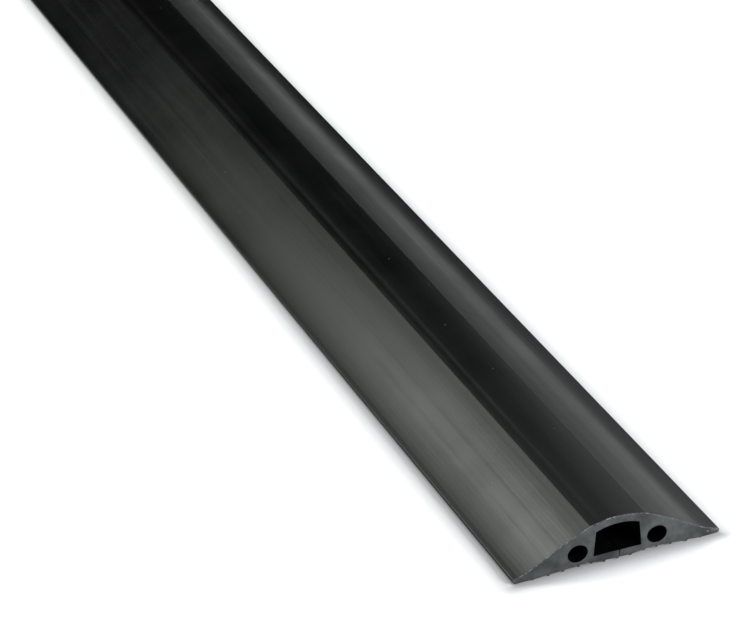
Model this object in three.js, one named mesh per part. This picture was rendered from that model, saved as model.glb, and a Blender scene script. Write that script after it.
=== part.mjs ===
// Floor cord cover: one length of extruded black rubber strip that lies over cables on a floor.
// Units are millimetres. +X runs across the strip, +Y along it and +Z up.
// The origin is on the floor, in the middle of the strip's length and width.
import * as THREE from 'three';

// Overall size
const stripLength = 914;
const stripWidth = 69;
const stripHeight = 15.2;

// Top: an arched crown between two creases, and a flank on each side down to a thin edge
const creaseHalfWidth = 9.15; // from the middle to each crease
const creaseDrop = 1.5; // how far the creases lie below the crown's top
const flankSwell = 0.9; // how far the upper flank is pulled over a straight line, as a control point
const flankDip = 1.7; // how far the lower flank is pulled below it
const edgeHeight = 1.6; // of the thin outer edges' top over the floor
const edgeChamfer = 0.6; // under each outer edge

// Main channel: a flat floor, walls that lean in and an arched roof
const channelFloorWidth = 16;
const channelRoofWidth = 14.5;
const channelArch = 1.35; // how far the roof rises between its corners
const floorThickness = 3; // rubber under the channel, ribs included
const roofThickness = 2.5; // rubber over the channel, at its middle

// One small bore on each side of the channel, slightly wider than high
const boreWidth = 6.7;
const boreHeight = 5.9;
const boreWeb = 1.85; // rubber between channel and bore
const boreFloor = 2.35; // rubber under the bore, ribs included

// Slit through the channel's floor, through which cords are pushed in
const slitWidth = 0.35;
const slitOffset = 0.8; // to the right of the middle

// Underside: a middle pad, a shallow hollow on each side of it, and wings that run down to flat feet
const padHalfWidth = 6.5;
const padHeight = 0.5; // of the pad's flat face over the floor
const hollowRun = 3.5; // from the pad's side out to the hollow's highest line
const hollowHeight = 1.25; // of the hollow's highest line over the floor
const footWidth = 6.5; // from the outer edge in to the foot's inner side
const footHeight = 0.15; // of the foot's flat face over the floor

// Small ribs that grip the floor
const ribDepth = 0.5;
const ribBaseWidth = 1.2;
const ribTipWidth = 0.5;
const padRibPitch = 4.4;
const wingRibPitch = 5;
const wingRibStart = 3; // from the hollow's highest line out to the first wing rib

// Fineness of the round stretches
const flankSteps = 48;
const crownSteps = 36;
const roofSteps = 16;
const boreSteps = 40;

const rubberBlack = new THREE.MeshStandardMaterial({ name: 'rubber', color: 0x1c1d1d, roughness: 0.62, metalness: 0 });

const halfWidth = stripWidth / 2;
const creaseHeight = stripHeight - creaseDrop;
const hollowX = padHalfWidth + hollowRun;
const footX = halfWidth - footWidth;

// The underside without its ribs, as height over the floor at a distance from the middle.
function plainUnderside(x) {
  const distance = Math.abs(x);
  if (distance <= padHalfWidth) return padHeight;
  if (distance <= hollowX) {
    return padHeight + (hollowHeight - padHeight) * (distance - padHalfWidth) / hollowRun;
  }
  const share = Math.min(1, (distance - hollowX) / (footX - hollowX));
  return hollowHeight + (footHeight - hollowHeight) * share;
}

// Middle lines of the ribs, from left to right: some under the pad, the rest under the wings and feet.
function ribCentres() {
  const oneSide = [];
  for (let x = padRibPitch; x < hollowX - ribBaseWidth / 2; x += padRibPitch) oneSide.push(x);
  const lastRibX = halfWidth - edgeChamfer - ribBaseWidth;
  for (let x = hollowX + wingRibStart; x < lastRibX; x += wingRibPitch) oneSide.push(x);
  return [...oneSide.map((x) => -x).reverse(), 0, ...oneSide];
}

// The underside from left to right, ribs included. No rib reaches below the floor.
function undersidePoints() {
  const corners = [-footX, -hollowX, -padHalfWidth, padHalfWidth, hollowX, footX];
  const ribs = ribCentres();
  const points = corners
    .filter((x) => ribs.every((rib) => Math.abs(x - rib) > ribBaseWidth / 2))
    .map((x) => [x, plainUnderside(x)]);
  for (const rib of ribs) {
    const tip = Math.max(0, plainUnderside(rib) - ribDepth);
    const left = rib - ribBaseWidth / 2;
    const right = rib + ribBaseWidth / 2;
    points.push([left, plainUnderside(left)], [rib - ribTipWidth / 2, tip]);
    points.push([rib + ribTipWidth / 2, tip], [right, plainUnderside(right)]);
  }
  points.push([-halfWidth + edgeChamfer, footHeight], [halfWidth - edgeChamfer, footHeight]);
  return points.sort((a, b) => a[0] - b[0]);
}

// Height of a line of points at x.
function heightAt(points, x) {
  const next = points.findIndex((point) => point[0] >= x);
  const [x0, z0] = points[next - 1];
  const [x1, z1] = points[next];
  return z0 + (z1 - z0) * (x - x0) / (x1 - x0);
}

// An arch from one corner to the other, both at the same height, rising to its middle. Corners are left out.
function archPoints(fromX, toX, cornerHeight, rise, steps) {
  const half = Math.abs(toX - fromX) / 2;
  const radius = (half * half + rise * rise) / (2 * rise);
  const centreZ = cornerHeight + rise - radius;
  const sweep = 2 * Math.asin(half / radius);
  const side = Math.sign(toX - fromX);
  const points = [];
  for (let i = 1; i < steps; i += 1) {
    const angle = sweep * (i / steps - 0.5);
    points.push([side * radius * Math.sin(angle), centreZ + radius * Math.cos(angle)]);
  }
  return points;
}

// A flank from its crease down to the outer edge: slightly full under the crease, hollow towards the foot.
function flankPoints() {
  const crease = new THREE.Vector2(creaseHalfWidth, creaseHeight);
  const edge = new THREE.Vector2(halfWidth, edgeHeight);
  const upper = crease.clone().lerp(edge, 1 / 3);
  const lower = crease.clone().lerp(edge, 2 / 3);
  upper.y += flankSwell;
  lower.y -= flankDip;
  const curve = new THREE.CubicBezierCurve(crease, upper, lower, edge);
  return curve.getPoints(flankSteps).map((point) => [point.x, point.y]);
}

// The channel as a notch that opens downwards through the slit, from the slit's left side round to its right.
function channelPoints() {
  const floorHalf = channelFloorWidth / 2;
  const roofHalf = channelRoofWidth / 2;
  const cornerHeight = stripHeight - roofThickness - channelArch;
  return [
    [slitOffset - slitWidth / 2, floorThickness],
    [-floorHalf, floorThickness],
    [-roofHalf, cornerHeight],
    ...archPoints(-roofHalf, roofHalf, cornerHeight, channelArch, roofSteps),
    [roofHalf, cornerHeight],
    [floorHalf, floorThickness],
    [slitOffset + slitWidth / 2, floorThickness],
  ];
}

// The whole outline, anticlockwise: underside with the channel's notch, right flank, crown, left flank.
function outlinePoints() {
  const underside = undersidePoints();
  const slitLeft = slitOffset - slitWidth / 2;
  const slitRight = slitOffset + slitWidth / 2;
  const rightFlank = flankPoints().reverse();
  const leftFlank = flankPoints().map(([x, z]) => [-x, z]);
  return [
    ...underside.filter(([x]) => x < slitLeft),
    [slitLeft, heightAt(underside, slitLeft)],
    ...channelPoints(),
    [slitRight, heightAt(underside, slitRight)],
    ...underside.filter(([x]) => x > slitRight),
    [halfWidth, footHeight + edgeChamfer],
    ...rightFlank,
    ...archPoints(creaseHalfWidth, -creaseHalfWidth, creaseHeight, creaseDrop, crownSteps),
    ...leftFlank,
    [-halfWidth, footHeight + edgeChamfer],
  ];
}

// A side bore, clockwise, as a hole in the outline.
function borePath(side) {
  const centreX = side * (channelFloorWidth / 2 + boreWeb + boreWidth / 2);
  const centreZ = boreFloor + boreHeight / 2;
  const points = [];
  for (let i = 0; i < boreSteps; i += 1) {
    const angle = -2 * Math.PI * i / boreSteps;
    points.push(new THREE.Vector2(
      centreX + boreWidth / 2 * Math.cos(angle),
      centreZ + boreHeight / 2 * Math.sin(angle),
    ));
  }
  return new THREE.Path(points);
}

// The section is drawn with X to the right and Z up, extruded, and turned so that it runs along Y.
function stripGeometry() {
  const section = new THREE.Shape(outlinePoints().map(([x, z]) => new THREE.Vector2(x, z)));
  section.holes.push(borePath(-1), borePath(1));
  const geometry = new THREE.ExtrudeGeometry(section, { depth: stripLength, steps: 1, bevelEnabled: false });
  geometry.rotateX(Math.PI / 2);
  geometry.translate(0, stripLength / 2, 0);
  return geometry;
}

const coverStrip = new THREE.Mesh(stripGeometry(), rubberBlack);
coverStrip.name = 'cover_strip';

const cordCover = new THREE.Group();
cordCover.name = 'floor_cord_cover';
cordCover.add(coverStrip);

export default cordCover;
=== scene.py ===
from math import cos, exp, pi, radians, sin

import bpy
from mathutils import Matrix, Vector, noise


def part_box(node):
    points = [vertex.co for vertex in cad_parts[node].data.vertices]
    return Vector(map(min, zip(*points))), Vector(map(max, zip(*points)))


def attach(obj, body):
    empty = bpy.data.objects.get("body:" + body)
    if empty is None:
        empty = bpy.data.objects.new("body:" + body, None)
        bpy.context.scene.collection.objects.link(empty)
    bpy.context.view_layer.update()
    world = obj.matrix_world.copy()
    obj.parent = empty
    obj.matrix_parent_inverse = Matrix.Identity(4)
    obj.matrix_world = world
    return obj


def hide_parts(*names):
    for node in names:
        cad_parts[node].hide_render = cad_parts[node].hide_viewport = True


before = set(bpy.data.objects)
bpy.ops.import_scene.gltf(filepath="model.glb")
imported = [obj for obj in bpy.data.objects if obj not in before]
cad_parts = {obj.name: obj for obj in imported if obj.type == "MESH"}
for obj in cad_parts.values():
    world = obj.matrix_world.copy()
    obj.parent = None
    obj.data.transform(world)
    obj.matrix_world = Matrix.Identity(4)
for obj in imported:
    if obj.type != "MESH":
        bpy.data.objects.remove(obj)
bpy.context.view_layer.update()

mm = 0.001
touching = 0.001 * mm  # points this close are merged
hair = 0.01 * mm  # smaller than any real size of the strip
stripLow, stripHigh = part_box("cover_strip")
nearEnd = stripLow.y
farEnd = stripHigh.y
halfWidth = stripHigh.x
topHeight = stripHigh.z


# Small helpers for work in edit mode

def deselectAll():
    if bpy.context.mode != "OBJECT":
        bpy.ops.object.mode_set(mode="OBJECT")
    bpy.ops.object.select_all(action="DESELECT")


def makeActive(piece):
    deselectAll()
    piece.select_set(True)
    bpy.context.view_layer.objects.active = piece


def selectEdges(piece, wanted):
    # picks the edges whose two end points pass the test, and leaves edit mode open
    bpy.ops.object.mode_set(mode="EDIT")
    bpy.ops.mesh.select_mode(type="EDGE")
    bpy.ops.mesh.select_all(action="DESELECT")
    bpy.ops.object.mode_set(mode="OBJECT")
    points = piece.data.vertices
    for edge in piece.data.edges:
        first, second = (points[i].co for i in edge.vertices)
        edge.select = bool(wanted(first, second))
    bpy.ops.object.mode_set(mode="EDIT")


def selectFaces(piece, wanted):
    # picks the faces that pass the test by middle point and normal, and leaves edit mode open
    bpy.ops.object.mode_set(mode="EDIT")
    bpy.ops.mesh.select_mode(type="FACE")
    bpy.ops.mesh.select_all(action="DESELECT")
    bpy.ops.object.mode_set(mode="OBJECT")
    for face in piece.data.polygons:
        face.select = bool(wanted(face.center, face.normal))
    bpy.ops.object.mode_set(mode="EDIT")


# Camera, at the photograph's viewing angle

cameraSetup = {
    "place": (-0.3491, nearEnd - 0.670, 0.50165),
    "turn": 22.14,  # degrees to the right of the strip's run
    "dip": 28.88,  # degrees below level
    "roll": -1.254,
    "focalPixels": 3010,  # focal length in pixels of a picture 750 wide
    "pictureWidth": 750,
    "sensorWidth": 36,
    "clip": (0.05, 50),  # the nearest and farthest that is drawn
}


def makeCamera(setup):
    deselectAll()
    bpy.ops.object.camera_add()
    camera = bpy.context.object
    camera.name = "photoCamera"
    aim = Matrix.Rotation(-radians(setup["turn"]), 4, "Z")
    aim = aim @ Matrix.Rotation(radians(90 - setup["dip"]), 4, "X")
    aim = aim @ Matrix.Rotation(radians(setup["roll"]), 4, "Z")
    camera.matrix_world = Matrix.Translation(setup["place"]) @ aim
    camera.data.sensor_width = setup["sensorWidth"]
    camera.data.lens = setup["sensorWidth"] * setup["focalPixels"] / setup["pictureWidth"]
    camera.data.clip_start, camera.data.clip_end = setup["clip"]
    bpy.context.scene.camera = camera
    print("camera set")


# The strip: a merged copy of the CAD solid, cut finer, with soft waves, ragged ribs and cut ends

stripSetup = {
    "crossCuts": 2,  # more columns on the crown and flanks
    "lengthCuts": 99,
    "longestColumn": 0.8 * mm,  # more than the width of any of the solid's columns on crown and flanks
    "creaseX": 9.15 * mm,
    "creaseZ": 13.7 * mm,
    "edgeZ": 1.6 * mm,  # top of the outer edges
    "edgeRound": 0.3 * mm,
    "creaseReach": 0.05 * mm,  # a long edge this close to a crease's place is the crease
    "topShare": 0.8,  # of its height that a long top edge must have, to tell it from the edges below it
    "rim": 0.16 * mm,  # broken edge round the cut ends
    "tip": 1 * mm,  # how far in from the outer edges the two thin tips reach
    "tipSide": 0.1 * mm,  # the outermost part of a tip, its side
    # skin lies above this share of the flank line's height, inside and outside the creases
    "skinShare": (0.96, 0.72),
    # soft lengthwise swells of the skin: (x, half width, height), in mm
    "swells": [
        (-21, 3.5, 0.1),  # the left flank is full half way down
        (-6.5, 1.2, -0.15),  # a shallow groove beside the left crease
        (3, 4, -0.15),  # the crown is flat right of its middle
        (20, 4, 0.12),  # the right flank is full half way down
        (28, 3.5, -0.2),  # and hollow above its outer edge
    ],
    "creaseLift": 0.15,  # each crease stands up a little from smooth faces, in mm
    "liftOut": 1.5,  # how far the lift reaches down the flank, in mm
    "liftIn": 3,  # and towards the crown's middle
    # unevenness of the skin: height, scale across per mm, scale along per metre, and place in the noise
    "relief": [
        (0.009 * mm, 1.3, 0.4, 3.1),  # fine lines that the die leaves
        (0.0045 * mm, 2.9, 0.6, 5.3),  # and finer ones
        (0.02 * mm, 0.12, 9, 7.7),  # slow unevenness along the run
    ],
    "ribRag": 0.26 * mm,  # how ragged the ribs under it are
    "ribGain": (1.4, 0.3),  # their noise is multiplied and raised by this, and they are never moved down
    "ribSideways": 1.5,  # how much more they are moved sideways
    "ribScale": (1.1 * mm, 30 * mm),  # size of the ragged bits, across and along
    "ribPlaces": (0.4, 9),  # in the noise, for the lift, and from there to the sideways one
    "ribReach": 1.7 * mm,  # how high over the floor the ragged part goes
    "smoothAngle": 35,  # in degrees, between faces that are shaded as one
    "endReach": 0.2 * mm,  # faces with their middle this close to an end are its cut or its rim
    "cutFacing": 0.95,  # how squarely a cut's faces look along the strip, at least
    "rimFacing": 0.3,  # and a rim's faces
}


def copyNode(nodeName, pieceName):
    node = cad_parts[nodeName]
    piece = bpy.data.objects.new(pieceName, node.data.copy())
    bpy.context.scene.collection.objects.link(piece)
    piece.data.name = pieceName
    piece.data.materials.clear()
    makeActive(piece)
    bpy.ops.mesh.customdata_custom_splitnormals_clear()
    bpy.ops.object.mode_set(mode="EDIT")
    bpy.ops.mesh.select_all(action="SELECT")
    bpy.ops.mesh.remove_doubles(threshold=touching)
    bpy.ops.object.mode_set(mode="OBJECT")
    return piece


def runsAlong(first, second):
    return abs(first.y - second.y) > 0.5 * (farEnd - nearEnd)


def isDiagonal(first, second):
    return runsAlong(first, second) and (Vector(first.xz) - Vector(second.xz)).length > hair


def toEnd(point):
    # how far it is to the nearer of the two cut ends
    return min(point.y - nearEnd, farEnd - point.y)


def flankLine(x, setup):
    # height of a straight line from the crease down to the outer edge
    share = (abs(x) - setup["creaseX"]) / (halfWidth - setup["creaseX"])
    return setup["creaseZ"] + (setup["edgeZ"] - setup["creaseZ"]) * max(0, share)


def isSkin(point, setup):
    # on the crown or a flank, and not down in the channel, a bore or the side of an edge
    inside, outside = setup["skinShare"]
    share = inside if abs(point.x) < setup["creaseX"] else outside
    return point.z > share * flankLine(point.x, setup) and abs(point.x) < halfWidth - setup["tipSide"]


def skinWave(point, setup):
    x = point.x / mm
    wave = 0
    for middle, width, height in setup["swells"]:
        wave += height * mm * exp(-(((x - middle) / width) ** 2))
    past = abs(x) - setup["creaseX"] / mm
    reach = setup["liftOut"] if past > 0 else setup["liftIn"]
    wave += setup["creaseLift"] * mm * exp(-abs(past) / reach)
    for height, across, along, place in setup["relief"]:
        wave += height * noise.noise(Vector((across * x, along * point.y, place)))
    return wave


def makeQuads(strip):
    # the long triangles of each column are joined to one long face
    selectEdges(strip, isDiagonal)
    bpy.ops.mesh.dissolve_edges(use_verts=False)
    bpy.ops.object.mode_set(mode="OBJECT")


def joinEndFaces(strip, setup):
    # the triangles of each cut end are joined, so that none of their inner edges is cut or waved with the skin
    def inEnd(centre, normal):
        return toEnd(centre) < hair

    def isChord(first, second):
        # thin slivers can keep an edge that runs straight from skin to skin past the next column
        longer = (first - second).length > setup["longestColumn"]
        return longer and first.y == second.y and isSkin(first, setup) and isSkin(second, setup)

    selectFaces(strip, inEnd)
    bpy.ops.mesh.dissolve_limited(angle_limit=radians(1))
    selectEdges(strip, isChord)
    bpy.ops.mesh.dissolve_edges(use_verts=False)
    bpy.ops.object.mode_set(mode="OBJECT")


def markCreases(strip, setup):
    # the two creases stay crisp between smooth faces
    def inCrease(first, second):
        beside = abs(abs(first.x) - setup["creaseX"]) < setup["creaseReach"]
        return beside and first.z > setup["topShare"] * setup["creaseZ"] and runsAlong(first, second)

    selectEdges(strip, inCrease)
    bpy.ops.mesh.mark_sharp()
    bpy.ops.object.mode_set(mode="OBJECT")


def roundEdges(strip, setup):
    # the long top edges of the two thin outer edges
    def topOfEdge(first, second):
        outermost = abs(first.x) > halfWidth - hair
        return outermost and first.z > setup["topShare"] * setup["edgeZ"] and runsAlong(first, second)

    selectEdges(strip, topOfEdge)
    bpy.ops.mesh.bevel(offset=setup["edgeRound"], segments=3, affect="EDGES")
    bpy.ops.object.mode_set(mode="OBJECT")


def cutFiner(strip, setup):
    def acrossSkin(first, second):
        return first.y == second.y and isSkin(first, setup) and isSkin(second, setup)

    selectEdges(strip, acrossSkin)
    bpy.ops.mesh.subdivide(number_cuts=setup["crossCuts"])
    selectEdges(strip, runsAlong)
    bpy.ops.mesh.subdivide(number_cuts=setup["lengthCuts"])
    for end in (nearEnd + setup["rim"], farEnd - setup["rim"]):
        bpy.ops.mesh.select_all(action="SELECT")
        bpy.ops.mesh.bisect(plane_co=(0, end, 0), plane_no=(0, 1, 0))
    bpy.ops.object.mode_set(mode="OBJECT")


def breakEndEdges(strip, setup):
    # the skin's outline on each cut end is drawn in a little, against the way that the skin faces
    outwards = {}
    for face in strip.data.polygons:
        if abs(face.normal.y) < setup["cutFacing"]:
            for i in face.vertices:
                outwards[i] = outwards.get(i, Vector()) + face.normal
    for i, normal in outwards.items():
        point = strip.data.vertices[i].co
        if toEnd(point) < hair and (isSkin(point, setup) or abs(point.x) > halfWidth - setup["tip"]):
            point -= setup["rim"] * normal.normalized()


def shapeSkin(strip, setup):
    for vertex in strip.data.vertices:
        point = vertex.co
        if isSkin(point, setup):
            point.z = min(topHeight, point.z + skinWave(point, setup))


def ragRibs(strip, setup):
    across, along = setup["ribScale"]
    gain, raised = setup["ribGain"]
    place, further = setup["ribPlaces"]
    for vertex in strip.data.vertices:
        point = vertex.co
        if point.z > setup["ribReach"] or abs(point.x) > halfWidth - setup["tip"]:
            continue
        share = 1 - point.z / setup["ribReach"]
        where = Vector((point.x / across, point.y / along, place))
        sideways = noise.noise(where + Vector((0, 0, further)))
        point.z += share * setup["ribRag"] * max(0, gain * noise.noise(where) + raised)
        point.x += share * setup["ribSideways"] * setup["ribRag"] * sideways


def makeStrip(setup):
    strip = copyNode("cover_strip", "cover_strip_rubber")
    makeQuads(strip)
    joinEndFaces(strip, setup)
    markCreases(strip, setup)
    roundEdges(strip, setup)
    cutFiner(strip, setup)
    breakEndEdges(strip, setup)
    shapeSkin(strip, setup)
    ragRibs(strip, setup)
    makeActive(strip)
    bpy.ops.object.shade_smooth_by_angle(angle=radians(setup["smoothAngle"]))
    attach(strip, "root")
    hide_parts("cover_strip")
    print("strip made:", len(strip.data.polygons), "faces")
    return strip


# Materials: near-black extruded rubber, and the paler, matt rubber of a cut

def addNode(tree, kind, **values):
    # keyword names are the node's own settings, or its input sockets with _ for a space
    node = tree.nodes.new(kind)
    for name, value in values.items():
        if hasattr(node, name):
            setattr(node, name, value)
        else:
            node.inputs[name.replace("_", " ")].default_value = value
    return node


def startGroup(name, inputs, outputs):
    group = bpy.data.node_groups.new(name, "ShaderNodeTree")
    for socket, value in inputs.items():
        made = group.interface.new_socket(name=socket, in_out="INPUT", socket_type="NodeSocketFloat")
        made.default_value = value
    for socket in outputs:
        group.interface.new_socket(name=socket, in_out="OUTPUT", socket_type="NodeSocketFloat")
    enter = group.nodes.new("NodeGroupInput")
    leave = group.nodes.new("NodeGroupOutput")
    where = group.nodes.new("ShaderNodeTexCoord")
    return group, enter, leave, where


def makeStreaksGroup():
    # uneven lines that run the length of the strip; Pitch is their width in metres
    group, enter, leave, where = startGroup("lengthwiseStreaks", {"Pitch": 0.002, "Run": 0.4}, ("Streak",))
    across = addNode(group, "ShaderNodeMath", operation="DIVIDE")
    across.inputs[0].default_value = 1
    along = addNode(group, "ShaderNodeMath", operation="DIVIDE")
    along.inputs[0].default_value = 1
    scale = addNode(group, "ShaderNodeCombineXYZ")
    stretch = addNode(group, "ShaderNodeVectorMath", operation="MULTIPLY")
    texture = addNode(group, "ShaderNodeTexNoise", Scale=1.0, Detail=3.0, Roughness=0.6)
    link = group.links.new
    link(enter.outputs["Pitch"], across.inputs[1])
    link(enter.outputs["Run"], along.inputs[1])
    link(across.outputs[0], scale.inputs["X"])
    link(along.outputs[0], scale.inputs["Y"])
    link(across.outputs[0], scale.inputs["Z"])
    link(where.outputs["Object"], stretch.inputs[0])
    link(scale.outputs[0], stretch.inputs[1])
    link(stretch.outputs[0], texture.inputs["Vector"])
    link(texture.outputs["Fac"], leave.inputs["Streak"])
    return group


def makeGrainGroup():
    # fine grain of the rubber, and slow cloudy patches of bloom
    inputs = {"Grain Scale": 4000, "Patch Scale": 30}
    group, enter, leave, where = startGroup("rubberGrain", inputs, ("Grain", "Patches"))
    link = group.links.new
    for socket, output, detail in (("Grain Scale", "Grain", 2.0), ("Patch Scale", "Patches", 4.0)):
        texture = addNode(group, "ShaderNodeTexNoise", Detail=detail, Roughness=0.55)
        link(where.outputs["Object"], texture.inputs["Vector"])
        link(enter.outputs[socket], texture.inputs["Scale"])
        link(texture.outputs["Fac"], leave.inputs[output])
    return group


def makeDustGroup():
    # scattered pale specks: one per Voronoi cell at most, seen from above, and only in some of the cells
    inputs = {"Spacing": 0.03, "Size": 0.0002, "Share": 0.3}
    group, enter, leave, where = startGroup("dustSpecks", inputs, ("Specks",))
    link = group.links.new
    scale = addNode(group, "ShaderNodeMath", operation="DIVIDE")
    scale.inputs[0].default_value = 1
    cells = addNode(group, "ShaderNodeTexVoronoi", voronoi_dimensions="2D", feature="F1", Randomness=1.0)
    reach = addNode(group, "ShaderNodeMath", operation="DIVIDE")
    near = addNode(group, "ShaderNodeMath", operation="LESS_THAN")
    parts = addNode(group, "ShaderNodeSeparateColor")
    some = addNode(group, "ShaderNodeMath", operation="LESS_THAN")
    both = addNode(group, "ShaderNodeMath", operation="MULTIPLY")
    link(enter.outputs["Spacing"], scale.inputs[1])
    link(scale.outputs[0], cells.inputs["Scale"])
    link(where.outputs["Object"], cells.inputs["Vector"])
    link(enter.outputs["Size"], reach.inputs[0])
    link(enter.outputs["Spacing"], reach.inputs[1])
    link(cells.outputs["Distance"], near.inputs[0])
    link(reach.outputs[0], near.inputs[1])
    link(cells.outputs["Color"], parts.inputs["Color"])
    link(parts.outputs["Red"], some.inputs[0])
    link(enter.outputs["Share"], some.inputs[1])
    link(near.outputs[0], both.inputs[0])
    link(some.outputs[0], both.inputs[1])
    link(both.outputs[0], leave.inputs["Specks"])
    return group


def placeGroup(tree, group, values):
    node = tree.nodes.new("ShaderNodeGroup")
    node.node_tree = group
    for name, value in values.items():
        node.inputs[name].default_value = value
    return node


def startMaterial(name, level):
    material = bpy.data.materials.new(name)
    material.use_nodes = True
    tree = material.node_tree
    shader = tree.nodes["Principled BSDF"]
    shader.inputs["Specular IOR Level"].default_value = level
    return material, tree, shader


def mapRange(tree, source, low, high, outLow, outHigh):
    node = addNode(tree, "ShaderNodeMapRange")
    node.inputs["From Min"].default_value = low
    node.inputs["From Max"].default_value = high
    node.inputs["To Min"].default_value = outLow
    node.inputs["To Max"].default_value = outHigh
    tree.links.new(source, node.inputs["Value"])
    return node.outputs["Result"]


def mixColours(tree, factor, first, second):
    # first and second are colours, or sockets that give one
    node = addNode(tree, "ShaderNodeMix", data_type="RGBA")
    tree.links.new(factor, node.inputs["Factor"])
    for socket, colour in ((node.inputs["A"], first), (node.inputs["B"], second)):
        if isinstance(colour, tuple):
            socket.default_value = (*colour, 1)
        else:
            tree.links.new(colour, socket)
    return node.outputs["Result"]


def joinValues(tree, operation, first, second):
    node = addNode(tree, "ShaderNodeMath", operation=operation)
    tree.links.new(first, node.inputs[0])
    tree.links.new(second, node.inputs[1])
    return node.outputs[0]


def addValues(tree, first, second):
    return joinValues(tree, "ADD", first, second)


def multiplyValues(tree, first, second):
    return joinValues(tree, "MULTIPLY", first, second)


def addBump(tree, height, shader, distance):
    bump = addNode(tree, "ShaderNodeBump", Strength=1.0, Distance=distance)
    tree.links.new(height, bump.inputs["Height"])
    tree.links.new(bump.outputs["Normal"], shader.inputs["Normal"])


skinLook = {
    "dark": (0.0008, 0.0009, 0.0009),
    "bloom": (0.0022, 0.0023, 0.0022),  # where the surface has a faint bloom
    "dust": (0.16, 0.165, 0.16),
    "roughness": (0.33, 0.40),
    "scuffRoughness": 0.045,  # added where the skin is scuffed
    "specularLevel": 0.38,
    "specularTint": (0.945, 1.0, 1.0),
    # streaks that run along the strip: their width and length in metres
    "lines": {"Pitch": 0.0009, "Run": 0.5},
    "bands": {"Pitch": 0.006, "Run": 0.25},
    "scuffs": {"Pitch": 0.0015, "Run": 0.07},
    "grain": {"Grain Scale": 3500, "Patch Scale": 35},
    "specks": {"Spacing": 0.028, "Size": 0.0002, "Share": 0.3},
    "unevenRange": (0.3, 0.7),  # of the bands and patches, between smooth and matt
    "scuffRange": (0.52, 0.72),  # of the scuffs' streaks, from unscuffed to scuffed
    "lineHeight": 0.0035 * mm,
    "grainHeight": 0.002 * mm,
}


def makeSkin(look, groups):
    material, tree, shader = startMaterial("extrudedRubber", look["specularLevel"])
    link = tree.links.new
    shader.inputs["Specular Tint"].default_value = (*look["specularTint"], 1)
    grain = placeGroup(tree, groups["grain"], look["grain"])
    lines = placeGroup(tree, groups["streaks"], look["lines"])
    bands = placeGroup(tree, groups["streaks"], look["bands"])
    scuffs = placeGroup(tree, groups["streaks"], look["scuffs"])
    dust = placeGroup(tree, groups["dust"], look["specks"])
    base = mixColours(tree, grain.outputs["Patches"], look["dark"], look["bloom"])
    link(mixColours(tree, dust.outputs["Specks"], base, look["dust"]), shader.inputs["Base Color"])
    smooth, matt = look["roughness"]
    half = (matt - smooth) / 2
    bandRoughness = mapRange(tree, bands.outputs["Streak"], *look["unevenRange"], smooth - half, matt - half)
    patchRoughness = mapRange(tree, grain.outputs["Patches"], *look["unevenRange"], 0, half * 2)
    scuffRoughness = mapRange(tree, scuffs.outputs["Streak"], *look["scuffRange"], 0, look["scuffRoughness"])
    roughness = addValues(tree, addValues(tree, bandRoughness, patchRoughness), scuffRoughness)
    link(roughness, shader.inputs["Roughness"])
    lineHeight = mapRange(tree, lines.outputs["Streak"], 0, 1, 0, look["lineHeight"])
    grainHeight = mapRange(tree, grain.outputs["Grain"], 0, 1, 0, look["grainHeight"])
    addBump(tree, addValues(tree, lineHeight, grainHeight), shader, 1.0)
    return material


cutLook = {
    "dark": (0.024, 0.0275, 0.0275),
    "pale": (0.070, 0.079, 0.079),
    # pale flecks: torn rubber along a cut's rim, partly a painted highlight there, and painted glints next to
    # the right tip
    "fleck": (0.30, 0.32, 0.32),
    "roughness": (0.5, 0.62),
    "specularLevel": 0.5,
    "grain": {"Grain Scale": 1800, "Patch Scale": 170},
    "patchRange": (0.38, 0.64),  # of the patches, from dark to pale
    "unevenRange": (0.3, 0.7),  # of the grain, between smooth and matt
    "saw": {"Pitch": 0.0006, "Run": 0.5},  # fine marks of the cut
    "grainHeight": 0.03 * mm,
    "sawHeight": 0.02 * mm,
    "fleckGrain": {"Grain Scale": 1500},
    "fleckRange": (0.5, 0.66),  # of that grain, from no fleck to a full one
    "tipStart": 28.8 * mm,  # painted glints, as paler flecks, lie from here to the right tip
    "tipFade": 1 * mm,  # and come in over this distance
    "tipHeight": 1.65 * mm,
    "tipBand": 0.25 * mm,  # up and down from that height
}


def makeFlecks(tree, groups, look, rim):
    # pale specks: all along the rim of a cut, torn rubber and partly a painted highlight on its broken edge;
    # and on its face only next to the right tip, where they are painted glints
    specks = placeGroup(tree, groups["grain"], look["fleckGrain"])
    tornAndGlinting = mapRange(tree, specks.outputs["Grain"], *look["fleckRange"], 0, 1)
    # on the rim the flecks are torn rubber, partly a painted highlight of its broken edge
    if rim:
        return tornAndGlinting
    # on the face the flecks are painted glints, only next to the right tip
    where = tree.nodes.new("ShaderNodeTexCoord")
    parts = tree.nodes.new("ShaderNodeSeparateXYZ")
    tree.links.new(where.outputs["Object"], parts.inputs[0])
    fullTip = look["tipStart"] + look["tipFade"]
    nearTip = mapRange(tree, parts.outputs["X"], look["tipStart"], fullTip, 0, 1)
    inside = addNode(tree, "ShaderNodeMath", operation="COMPARE")
    inside.inputs[1].default_value = look["tipHeight"]
    inside.inputs[2].default_value = look["tipBand"]
    tree.links.new(parts.outputs["Z"], inside.inputs[0])
    return multiplyValues(tree, multiplyValues(tree, nearTip, inside.outputs[0]), tornAndGlinting)


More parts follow.
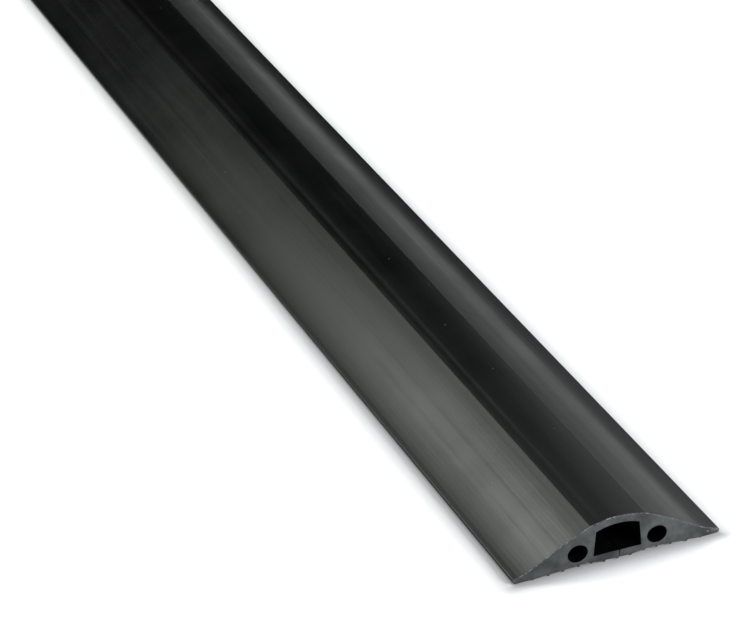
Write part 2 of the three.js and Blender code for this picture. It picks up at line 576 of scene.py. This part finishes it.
def makeCut(name, look, groups, rim):
    material, tree, shader = startMaterial(name, look["specularLevel"])
    link = tree.links.new
    grain = placeGroup(tree, groups["grain"], look["grain"])
    saw = placeGroup(tree, groups["streaks"], look["saw"])
    patches = mapRange(tree, grain.outputs["Patches"], *look["patchRange"], 0, 1)
    base = mixColours(tree, patches, look["dark"], look["pale"])
    flecks = makeFlecks(tree, groups, look, rim)
    link(mixColours(tree, flecks, base, look["fleck"]), shader.inputs["Base Color"])
    roughness = mapRange(tree, grain.outputs["Grain"], *look["unevenRange"], *look["roughness"])
    link(roughness, shader.inputs["Roughness"])
    grainHeight = mapRange(tree, grain.outputs["Grain"], 0, 1, 0, look["grainHeight"])
    sawHeight = mapRange(tree, saw.outputs["Streak"], 0, 1, 0, look["sawHeight"])
    addBump(tree, addValues(tree, grainHeight, sawHeight), shader, 1.0)
    return material


def dressStrip(strip, materials, setup):
    # the skin's material is the first, a cut's the second and its rim's the third
    for material in materials:
        strip.data.materials.append(material)
    for face in strip.data.polygons:
        atEnd = toEnd(face.center) < setup["endReach"]
        if atEnd and abs(face.normal.y) > setup["cutFacing"]:
            face.material_index = 1
        elif atEnd and abs(face.normal.y) > setup["rimFacing"]:
            face.material_index = 2


# Floor, light and surroundings

lightSetup = {
    # name, azimuth and elevation in degrees, distance and size in metres,
    # aim across and along from the near end, radiance, colour
    "boxes": [
        ("leftBox", -40, 44, 1.0, 0.34, 0, 0.12, 10, (0.97, 1, 0.96)),
        ("leftSmallBox", -25, 44, 0.6, 0.2, 0, 0.12, 3, (0.97, 1, 0.92)),
        ("leftLowBox", -25, 32, 0.6, 0.2, 0, 0.12, 1.5, (0.97, 1, 0.92)),
        ("rightBox", 55, 32, 0.6, 0.36, 0, 0.12, 0.7, (0.95, 1, 0.98)),
        ("rightHighBox", 25, 56, 0.6, 0.2, 0, 0.12, 1, (0.95, 1, 0.98)),
        ("rightLowBox", 75, 20, 0.6, 0.2, 0, 0.12, 7, (0.95, 1, 0.98)),
        ("endBox", 150, 20, 0.6, 0.2, 0, 0.12, 19, (1, 1, 1)),
        ("overheadBox", 0, 89, 0.6, 0.3, -0.5, -0.4, 6, (1, 1, 1)),
    ],
}


def makeLights(setup):
    for name, turn, rise, distance, size, across, along, radiance, colour in setup["boxes"]:
        aim = Vector((across, nearEnd + along, 0))
        away = Vector((
            sin(radians(turn)) * cos(radians(rise)),
            cos(radians(turn)) * cos(radians(rise)),
            sin(radians(rise)),
        ))
        deselectAll()
        bpy.ops.object.light_add(type="AREA")
        light = bpy.context.object
        light.name = name
        light.location = aim + distance * away
        light.rotation_euler = away.to_track_quat("Z", "Y").to_euler()
        light.data.shape = "SQUARE"
        light.data.size = size
        light.data.energy = pi * radiance * size * size
        light.data.color = colour
        light.visible_camera = False


floorSetup = {
    "size": 30,
    "grey": (0.885, 0.895, 0.92),
    "roughness": 0.9,
    # the floor's own glow rises between two distances from the strip, to a strength; near the strip it is
    # painted light, weakest at the strip, which paints the soft edge of a contact shadow all round it
    "nearGlow": (0, 10 * mm, 0.45),
    "farGlow": (0.15, 0.5, 0.55),  # there the lamplight is faded out for the camera too
    "shade": (5 * mm, 0.3),  # painted shadow: beyond both ends the floor's colour is darker over this distance, by this share
    "under": 0.1 * mm,  # the floor under the strip counts as this far beyond its ends, in full painted shadow
}


def makeFloor(setup):
    deselectAll()
    bpy.ops.mesh.primitive_plane_add(size=setup["size"], location=(0, 0, 0))
    floor = bpy.context.object
    floor.name = "studioFloor"
    material, tree, shader = startMaterial("paleFloor", 0)
    link = tree.links.new
    shader.inputs["Roughness"].default_value = setup["roughness"]
    shader.inputs["Emission Color"].default_value = (1, 1, 1, 1)
    where = tree.nodes.new("ShaderNodeTexCoord")
    folded = addNode(tree, "ShaderNodeVectorMath", operation="ABSOLUTE")
    beyond = addNode(tree, "ShaderNodeVectorMath", operation="SUBTRACT")
    outside = addNode(tree, "ShaderNodeVectorMath", operation="MAXIMUM")
    distance = addNode(tree, "ShaderNodeVectorMath", operation="LENGTH")
    beyond.inputs[1].default_value = (halfWidth, farEnd, 0)
    outside.inputs[1].default_value = (0, setup["under"], 0)
    link(where.outputs["Object"], folded.inputs[0])
    link(folded.outputs[0], beyond.inputs[0])
    link(beyond.outputs[0], outside.inputs[0])
    link(outside.outputs[0], distance.inputs[0])
    glows = []
    for start, stop, strength in (setup["nearGlow"], setup["farGlow"]):
        glow = mapRange(tree, distance.outputs["Value"], start, stop, 0, strength)
        glow.node.interpolation_type = "SMOOTHSTEP"
        glows.append(glow)
    path = tree.nodes.new("ShaderNodeLightPath")
    start, stop, strength = setup["farGlow"]
    farAway = mapRange(tree, distance.outputs["Value"], start, stop, 0, 1)
    faded = multiplyValues(tree, farAway, path.outputs["Is Camera Ray"])
    # painted shadow: the floor's colour darkens close beyond the strip's ends and under it
    reach, share = setup["shade"]
    sides = tree.nodes.new("ShaderNodeSeparateXYZ")
    link(outside.outputs[0], sides.inputs[0])
    ahead = joinValues(tree, "DIVIDE", sides.outputs["Y"], distance.outputs["Value"])
    close = mapRange(tree, distance.outputs["Value"], 0, reach, share, 0)
    darker = addValues(tree, multiplyValues(tree, ahead, close), faded)
    link(mixColours(tree, darker, setup["grey"], (0, 0, 0)), shader.inputs["Base Color"])
    # only the camera sees the glow, so it puts no light on the strip; close to the strip it is painted light
    # that shapes the contact shadow
    seen = multiplyValues(tree, path.outputs["Is Camera Ray"], addValues(tree, *glows))
    link(seen, shader.inputs["Emission Strength"])
    floor.data.materials.append(material)


worldSetup = {
    "strength": 0.35,
    "start": 0.1,  # how far a direction must turn to the near side, -Y, before the world lights it
    "full": 0.7,
}


def makeWorld(setup):
    # light comes from the near side only, and the camera sees a pale wall all round
    world = bpy.data.worlds.new("studioWorld")
    bpy.context.scene.world = world
    world.use_nodes = True
    tree = world.node_tree
    link = tree.links.new
    background = tree.nodes["Background"]
    background.inputs["Color"].default_value = (1, 1, 1, 1)
    where = tree.nodes.new("ShaderNodeTexCoord")
    parts = tree.nodes.new("ShaderNodeSeparateXYZ")
    path = tree.nodes.new("ShaderNodeLightPath")
    link(where.outputs["Generated"], parts.inputs[0])
    light = mapRange(tree, parts.outputs["Y"], -setup["start"], -setup["full"], 0, setup["strength"])
    strength = addNode(tree, "ShaderNodeMix", data_type="FLOAT")
    link(path.outputs["Is Camera Ray"], strength.inputs["Factor"])
    link(light, strength.inputs["A"])
    strength.inputs["B"].default_value = 1
    link(strength.outputs["Result"], background.inputs["Strength"])


bpy.context.scene.view_settings.view_transform = "Standard"
makeCamera(cameraSetup)
strip = makeStrip(stripSetup)
effects = {"streaks": makeStreaksGroup(), "grain": makeGrainGroup(), "dust": makeDustGroup()}
skin = makeSkin(skinLook, effects)
cut = makeCut("cutRubber", cutLook, effects, False)
# the rim's pale flecks are torn rubber and partly a painted highlight on the cut's broken edge
rim = makeCut("tornRimWithPaintedHighlight", cutLook, effects, True)
dressStrip(strip, (skin, cut, rim), stripSetup)
print("materials made")
makeFloor(floorSetup)
makeLights(lightSetup)
makeWorld(worldSetup)
print("floor, lights and surroundings made")
